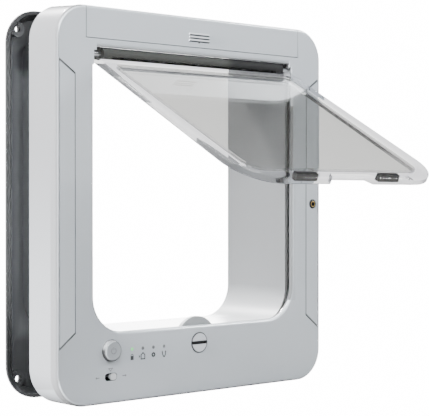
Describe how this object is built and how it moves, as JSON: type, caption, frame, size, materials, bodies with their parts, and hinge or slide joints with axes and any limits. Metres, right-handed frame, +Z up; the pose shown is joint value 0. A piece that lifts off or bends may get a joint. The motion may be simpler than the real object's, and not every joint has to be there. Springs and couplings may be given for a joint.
{
  "type": "cat flap",
  "caption": "Square battery-powered cat flap with a clear swinging flap, coin-turned lock, push button, mode switch, indicator lights, door tunnel and dark outdoor frame.",
  "frame": {"origin": "centre of the four door screw holes, in the plane where the indoor housing rests on the door", "axes": "+X to the right seen from indoors, +Y through the door to the outside, +Z up"},
  "size_m": [0.2466, 0.2215, 0.2645],
  "materials": {
    "white_shell": "satin",
    "grey_shell": "matte",
    "inner_plastic": "matte",
    "wheel_plastic": "satin",
    "dark_plastic": "satin",
    "knob_plastic": "satin",
    "clear_plastic": "gloss",
    "smoked_plastic": "gloss",
    "lit_lens": "gloss",
    "unlit_lens": "gloss",
    "magnet": "satin",
    "steel": "bright",
    "copper_coil": "satin",
    "board": "satin",
    "cell_wrap": "satin"
  },
  "bodies": {
    "case": {"front_housing": "white_shell", "rear_cover": "inner_plastic", "tunnel": "white_shell", "outdoor_frame": "grey_shell", "battery_holder": "inner_plastic", "battery_cells": "cell_wrap", "battery_contacts": "steel", "circuit_board": "board", "board_screws": "steel", "button_switch": "dark_plastic", "mode_switch": "dark_plastic", "led_lit": "lit_lens", "led_others": "unlit_lens", "lock_bracket": "inner_plastic", "solenoid": "dark_plastic", "aerial_coil": "copper_coil", "light_sensor": "dark_plastic", "hinge_bearings": "inner_plastic", "catch_magnets": "magnet", "case_screws": "steel"},
    "flap": {"flap_frame": "clear_plastic", "flap_panel": "smoked_plastic", "flap_magnets": "magnet", "hinge_rail": "dark_plastic", "hinge_pins": "steel"},
    "battery_lid": {"battery_cover": "white_shell"},
    "left_cover": {"left_side_cover": "white_shell"},
    "right_cover": {"right_side_cover": "white_shell"},
    "button": {"push_button": "white_shell"},
    "slider": {"mode_slider": "knob_plastic"},
    "lock": {"lock_knob": "knob_plastic", "lock_wheel": "wheel_plastic"},
    "bolt": {"lock_bolt": "steel"}
  },
  "joints": [
    {"name": "flap_swing", "type": "hinge", "parent": "case", "child": "flap", "pos_m": [0, -0.022, 0.09945], "axis": [1, 0, 0], "range_deg": [-23.6, 141.4]},
    {"name": "lock_turn", "type": "hinge", "parent": "case", "child": "lock", "pos_m": [0, -0.022, -0.09705], "axis": [0, 1, 0], "range_deg": [0, 180]},
    {"name": "button_press", "type": "slide", "parent": "case", "child": "button", "axis": [0, 1, 0], "range_m": [0, 0.0012], "stiffness_N_per_m": 500, "springref_m": -0.001},
    {"name": "mode_slide", "type": "slide", "parent": "case", "child": "slider", "axis": [-1, 0, 0], "range_m": [0, 0.0042]},
    {"name": "bolt_rise", "type": "slide", "parent": "case", "child": "bolt", "axis": [0, 0, 1], "range_m": [0, 0.015]},
    {"name": "battery_cover_slide", "type": "slide", "parent": "case", "child": "battery_lid", "axis": [0, 0, 1], "range_m": [0, 0.025]},
    {"name": "left_cover_off", "type": "slide", "parent": "case", "child": "left_cover", "axis": [0, -1, 0], "range_m": [0, 0.015]},
    {"name": "right_cover_off", "type": "slide", "parent": "case", "child": "right_cover", "axis": [0, -1, 0], "range_m": [0, 0.015]}
  ]
}
